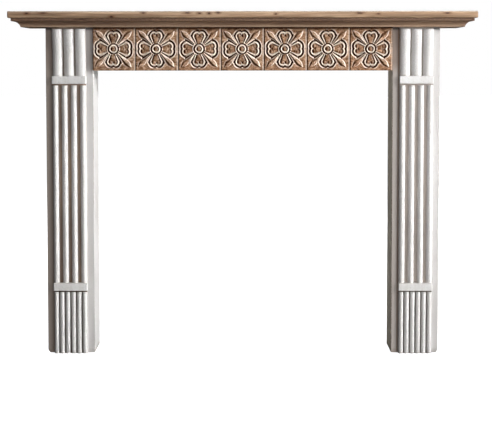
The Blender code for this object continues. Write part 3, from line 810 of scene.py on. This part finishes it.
def tile_heights(u, v, rng):
    """Height of the carved front in metres from the ground, its rims, and distance from its hollows."""
    petal = np.full(u.shape, np.inf)
    for quarter in range(4):
        c, s = math.cos(math.pi / 2 * quarter), math.sin(math.pi / 2 * quarter)
        along, across = u * c + v * s, -u * s + v * c
        slim = LEVEL_PETAL_SLIM if quarter % 2 == 0 else UPRIGHT_PETAL_SLIM
        across = (across + rng.uniform(-0.010, 0.010)) * (slim + rng.uniform(-0.03, 0.03))
        t = np.clip((along - PETAL_BASE) / (NARROW_END - PETAL_BASE), 0, 1)
        narrow = NARROWING + (1 - NARROWING) * t * t * (3 - 2 * t)
        distance = petal_distance(along, across, LOBE_RADIUS + rng.uniform(-0.005, 0.005)) / narrow
        petal = np.minimum(petal, np.where(along > 0, distance, np.inf))
    height = smooth_table(petal, PETAL_SECTION)
    for quarter in range(4):
        c, s = math.cos(math.pi / 2 * (quarter + 0.5)), math.sin(math.pi / 2 * (quarter + 0.5))
        along, across = (u - LEAF_SHIFT) * c + v * s, (LEAF_SHIFT - u) * s + v * c
        rightward = (across if s < 0 else -across) + rng.uniform(-0.008, 0.008)
        share = np.clip((along - LEAF_START) / (LEAF_END - LEAF_START), 0, 1)
        half = LEAF_HALF * np.sin(math.pi * share**LEAF_SKEW) ** 1.2 + LEAF_STEM * (1 - share)
        ends = np.maximum(np.maximum(LEAF_START - along, along - LEAF_END), 0)
        beyond = np.hypot(np.maximum(np.abs(rightward) - half, 0), ends)
        blade = smooth_table(rightward / np.maximum(half, 1e-4), LEAF_SECTION)
        cut = np.where(rightward < 0, LEAF_CUT_LEFT, LEAF_CUT_RIGHT)
        cut = cut * np.clip(1 - beyond / LEAF_MARGIN, 0, 1)
        free = (along > 0) & (petal > PETAL_RIM)
        height = np.where(free & (beyond <= 0), blade, height)
        beside = free & (beyond > 0) & (beyond < LEAF_MARGIN)
        height = np.where(beside, np.minimum(height, -cut), height)
    radius = np.hypot(u, v)
    boss = smooth_table(radius, BOSS_SECTION)
    in_boss = radius < BOSS_EDGE
    height = np.where(in_boss, boss, height)
    round_boss = ~in_boss & (radius < BOSS_SECTION[-1][0])
    height = np.where(round_boss, np.maximum(boss, height), height)
    boss_rim = np.abs(radius - BOSS_RIM) / BOSS_RIM_HALF
    rim = np.where(in_boss, boss_rim, np.abs(petal - HOLLOW_RIM) / HOLLOW_RIM)
    hollow = np.where(in_boss, radius - BOSS_HOLLOW, petal)
    return height, np.clip(1.7 - rim, 0, 1), hollow


def grown(value, start, length):
    """Rises from 0 where value is start to 1 a length further."""
    return np.clip((value - start) / length, 0, 1)


def line(value, at, half, strength):
    """A line where value is near at: 1 in its middle, and soft over its last half width."""
    return np.clip(strength - np.abs(value - at) / half, 0, 1)


def tile_wear(x, z, half_width, half_height, height, rims, hollow):
    """How dark and how pale each point of a tile's front is, from 0 to 1.

    Cuts that face left are darkened as painted shade and slopes that face right are made pale as a painted
    highlight. The bottoms of grooves are stained, and the rims are rubbed pale, less where they face left.
    """
    slope_z, slope_x = np.gradient(height, z[:, 0], x[0])
    facing = -(0.9 * slope_x + 0.15 * slope_z)
    # Painted highlight where a slope faces right, and rubbed rims; painted shade where a cut faces left,
    # and stain deep in the grooves
    rub_and_highlight = grown(facing, 0.10, 0.50)
    rub_and_highlight = np.maximum(rub_and_highlight, rims * np.clip(1 + facing / 0.9, 0, 1))
    stain_and_shade = grown(-facing, 0.15, 0.45) * 0.85 + grown(-height, 0.0018, 0.0018) * 0.55

    # Painted shade just inside a petal's rim on its left, stain with painted shade in the groove round it,
    # wider and farther out on its right, and a painted highlight on the shoulder to its right
    rightward = np.gradient(hollow, x[0], axis=1) * FLOWER_UNIT * 1.3
    inner = grown(-hollow, -0.014, 0.012) * grown(hollow, -0.115, 0.05) * np.clip(-rightward, 0, 1)
    rub_and_highlight = rub_and_highlight * (1 - inner)
    reach = GROOVE + GROOVE_SWAY * np.clip(rightward, -0.3, 1)
    groove = line(hollow, reach, reach - GROOVE_START, 1.6) * grown(-height, -0.0012, 0.0020)
    stain_and_shade = np.clip(stain_and_shade * (1 - 0.75 * rub_and_highlight) + inner + groove, 0, 1)
    shoulder = line(hollow, SHOULDER, SHOULDER_HALF, 1.5) * np.clip(rightward, 0, 1)
    rub_and_highlight = np.maximum(rub_and_highlight, shoulder * 0.9)
    rub_and_highlight = rub_and_highlight * (1 - stain_and_shade)

    # A painted highlight near the right edge, dark seams at the sides, and painted shade under the cornice
    to_left, to_right = x + half_width, half_width - x
    rub_and_highlight = np.maximum(rub_and_highlight, line(to_right, HIGHLIGHT_LINE, HIGHLIGHT_LINE_HALF, 1.5) * 0.45)
    seams = np.maximum(line(to_left, 0, LEFT_SEAM, 2.4), line(to_right, 0, RIGHT_SEAM, 2.4))
    top_shade = grown(z - half_height, -TOP_SHADE, TOP_SHADE_FADE)
    edges = np.maximum(seams, top_shade) * EDGE_STAIN_AND_SHADE
    return np.maximum(stain_and_shade, edges), rub_and_highlight * (1 - edges)


def carved_tile(n, material):
    """One frieze tile: a fine height field in front, closed by plain sides and a plain back."""
    rng = np.random.default_rng(40 + n)
    half_width = (TILE_WIDTH - JOINT_GAP) / 2
    half_height = (TILE_HEIGHT - JOINT_GAP) / 2
    centre_x = (n - (TILE_COUNT + 1) / 2) * TILE_WIDTH
    centre_z = OPENING_HEIGHT + half_height
    cells = TILE_CELLS
    xs = np.linspace(-half_width, half_width, cells + 1)
    zs = np.linspace(-half_height, half_height, cells + 1)
    x, z = np.meshgrid(xs, zs)
    turn = rng.uniform(-0.012, 0.012)
    u = ((x - FLOWER_SHIFT) * math.cos(turn) - z * math.sin(turn)) / FLOWER_UNIT
    v = ((x - FLOWER_SHIFT) * math.sin(turn) + z * math.cos(turn)) / FLOWER_UNIT
    height, rims, hollow = tile_heights(u, v, rng)
    chips = waves(300 + n, 9, 0.006, 0.05)
    uneven = chips(x + z * 0.37) * chips(z * 1.3 - x * 0.21)
    height = blurred(height, 2) + TILE_UNEVENNESS * uneven
    to_edge = np.minimum(half_width - np.abs(x), half_height - np.abs(z))
    arris = np.clip(1 - to_edge / TILE_ARRIS, 0, 1)
    height = height - TILE_ARRIS_DROP * arris**1.6
    stain_and_shade, rub_and_highlight = tile_wear(x, z, half_width, half_height, height, rims, hollow)

    ground_y = JAMB_FRONT - TILE_PROJECTION
    front = np.stack([x + centre_x, ground_y - height, z + centre_z], axis=-1).reshape(-1, 3)
    rim = [(0, i) for i in range(cells)] + [(i, cells) for i in range(cells)]
    rim += [(cells, cells - i) for i in range(cells)] + [(cells - i, 0) for i in range(cells)]
    rim = [r * (cells + 1) + c for r, c in rim]
    back = front[rim].copy()
    back[:, 1] = ground_y + TILE_THICKNESS
    verts = np.vstack([front, back])
    faces = []
    for r in range(cells):
        for c in range(cells):
            a = r * (cells + 1) + c
            faces.append((a, a + 1, a + cells + 2, a + cells + 1))
    first = len(front)
    for i, a in enumerate(rim):
        j = (i + 1) % len(rim)
        faces.append((rim[j], a, first + i, first + j))
    faces.append(tuple(range(first, first + len(rim)))[::-1])
    values = {
        "stain_and_shade": np.append(np.clip(stain_and_shade, 0, 1).ravel(), np.full(len(back), 0.5)),
        "rub_and_highlight": np.append(np.clip(rub_and_highlight, 0, 1).ravel(), np.zeros(len(back))),
    }
    node = f"frieze_tile_{n}"
    add_piece(node + "_carved", verts, faces, material, node, values, sharp=60.0)


SHELF_PINE = pine(
    "shelf_pine",
    srgb(84, 56, 36),
    srgb(182, 145, 114),
    srgb(236, 204, 170),
    SHELF_KNOTS,
    # A painted highlight along the top of the shelf's front edge
    levels=((SHELF_TOP - 0.0050, SHELF_TOP - 0.0012, 0.0, 0.80, srgb(240, 230, 218)),),
    depth=0.005,
)
MOULD_PINE = pine(
    "moulding_pine",
    srgb(92, 68, 54),
    srgb(140, 110, 90),
    srgb(176, 144, 118),
    grain_shift=(3.1, 0.7, 0.2),
    levels=(
        # A painted highlight on the moulding's lip below the cove, and painted shade on the fillet under
        # the shelf
        (JAMB_HEIGHT + 0.002, JAMB_HEIGHT + 0.0075, 0.60, 0.0, srgb(202, 172, 144)),
        (FILLET_BOTTOM - 0.0010, FILLET_BOTTOM + 0.0004, 0.0, 0.62, srgb(78, 54, 38)),
    ),
)
PLAIN_PINE = pine(
    "hidden_pine",
    srgb(130, 98, 68),
    srgb(176, 140, 104),
    srgb(206, 172, 134),
    grain_shift=(8.3, 1.9, 4.2),
)
REED_PAINT = reed_paint("carved_paint")
BOARD_PAINT = board_paint("board_paint")
# The wood of each tile differs a little, from left to right
TILE_TINTS = (
    (0.98, 0.97, 0.96, 1.0),
    (1.00, 0.98, 0.94, 1.0),
    (1.04, 0.98, 0.92, 1.0),
    (1.00, 0.98, 0.95, 1.0),
    (1.05, 1.01, 0.96, 1.0),
    (1.02, 0.97, 0.91, 1.0),
    (1.06, 0.98, 0.90, 1.0),
)


def dress(node, material):
    """Gives a solid that is fine enough as it is its new material."""
    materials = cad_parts[node].data.materials
    materials.clear()
    materials.append(material)


def flat_crest(_):
    """Projection of reeds that don't swell."""
    return REED_CREST


def dress_jamb(side, sign):
    """The carved pieces and the boards of one jamb."""
    seed = 100 if sign < 0 else 200
    centre = sign * JAMB_CENTRE
    for name, reeds, crest_at, bottom, top, cell, draw, neck in (
        ("base", BASE_REEDS, flat_crest, 0, BASE_HEIGHT, 0.006, 0, BAND_NECK),
        ("shaft", SHAFT_REEDS, flat_crest, SHAFT_BOTTOM, SHAFT_TOP, 0.010, 10, BAND_NECK),
        ("capital", CAPITAL_REEDS, capital_crest, CAPITAL_BOTTOM, JAMB_HEIGHT, 0.005, 20, CAPITAL_NECK),
    ):
        top -= JOINT_GAP
        reeded_piece(f"{side}_{name}", reeds, crest_at, bottom, top, cell, centre, seed + draw, neck)
    for name, bottom, draw in (("lower_band", BASE_HEIGHT, 32), ("upper_band", SHAFT_TOP, 39)):
        worn_block(
            f"{side}_{name}",
            (centre - BAND_HALF, JAMB_FRONT - BAND_PROJECTION, bottom),
            (centre + BAND_HALF, JAMB_FRONT - JOINT_GAP, bottom + BAND_HEIGHT - JOINT_GAP),
            radius=BAND_ARRIS,
            steps=(8, 9),
            cell=0.002,
            dent=BAND_DENT,
            material=REED_PAINT,
            seed=seed + draw,
        )
    for name in ("jamb_front", "jamb_inner_side", "jamb_outer_side"):
        dress(f"{side}_{name}", BOARD_PAINT)


worn_block(
    "shelf_board",
    (-SHELF_LENGTH / 2, FRONT_EDGE, SHELF_UNDERSIDE),
    (SHELF_LENGTH / 2, BACK_PLANE, SHELF_TOP),
    radius=SHELF_ARRIS,
    steps=(24, 4),
    cell=0.005,
    dent=SHELF_DENT,
    material=SHELF_PINE,
    seed=5,
)
cornice_mouldings(MOULD_PINE)
for number, tint in enumerate(TILE_TINTS, 1):
    carved_tile(number, carved_pine(f"tile_wood_{number}", tint))
dress("cornice_core", PLAIN_PINE)
dress("frieze_board", PLAIN_PINE)
dress_jamb("left", -1)
dress_jamb("right", 1)


def add_floor():
    """A plain pale floor that shows to the camera but throws no light back up at the object."""
    s = Shader("floor_white")
    s.put(s.surface.inputs["Base Color"], (0.9, 0.9, 0.9, 1.0))
    s.put(s.surface.inputs["Roughness"], 0.9)
    s.put(s.surface.inputs["Specular IOR Level"], 0.0)
    s.put(s.surface.inputs["Emission Color"], (1.0, 1.0, 1.0, 1.0))
    away = s.node("ShaderNodeVectorMath", operation="LENGTH")
    s.put(away.inputs[0], s.place)
    glow = s.between(away.outputs["Value"], 0.6, 2.4, *FLOOR_GLOW)
    s.put(s.surface.inputs["Emission Strength"], glow)
    mesh = bpy.data.meshes.new("floor")
    corners = [(-1, -1), (1, -1), (1, 1), (-1, 1)]
    mesh.from_pydata([(x * FLOOR_HALF, y * FLOOR_HALF, 0) for x, y in corners], [], [(0, 1, 2, 3)])
    mesh.materials.append(s.material)
    floor = bpy.data.objects.new("floor", mesh)
    floor.location = (0, 0, -FLOOR_GAP)
    floor.visible_diffuse = False
    floor.visible_glossy = False
    bpy.context.scene.collection.objects.link(floor)


def add_light(name, place, target, width, height, power, spread):
    """A softbox aimed at a point, its beam narrowed to spread degrees."""
    data = bpy.data.lights.new(name, "AREA")
    data.shape = "RECTANGLE"
    data.size = width
    data.size_y = height
    data.energy = power
    data.spread = math.radians(spread)
    lamp = bpy.data.objects.new(name, data)
    lamp.location = place
    lamp.rotation_euler = (Vector(target) - Vector(place)).to_track_quat("-Z", "Y").to_euler()
    lamp.visible_camera = False
    bpy.context.scene.collection.objects.link(lamp)


def add_studio():
    """A soft key, a gridded side light and a weak fill in front, three dim lights behind, a white world."""
    for lamp in LAMPS:
        add_light(*lamp)
    world = bpy.data.worlds.new("studio")
    bpy.context.scene.world = world
    world.use_nodes = True
    background = world.node_tree.nodes["Background"]
    background.inputs["Color"].default_value = (1.0, 1.0, 1.0, 1.0)
    background.inputs["Strength"].default_value = 1.0
    world.cycles_visibility.diffuse = False
    world.cycles_visibility.glossy = False


def add_camera():
    """The camera that sees the object as the photograph does."""
    data = bpy.data.cameras.new("camera")
    data.lens = CAMERA_LENS
    data.shift_y = CAMERA_SHIFT_Y
    camera = bpy.data.objects.new("camera", data)
    camera.location = CAMERA_PLACE
    camera.rotation_euler = (math.pi / 2 - CAMERA_PITCH, -CAMERA_ROLL, -CAMERA_YAW)
    bpy.context.scene.collection.objects.link(camera)
    bpy.context.scene.camera = camera


add_floor()
add_studio()
add_camera()
bpy.context.scene.view_settings.view_transform = "Standard"
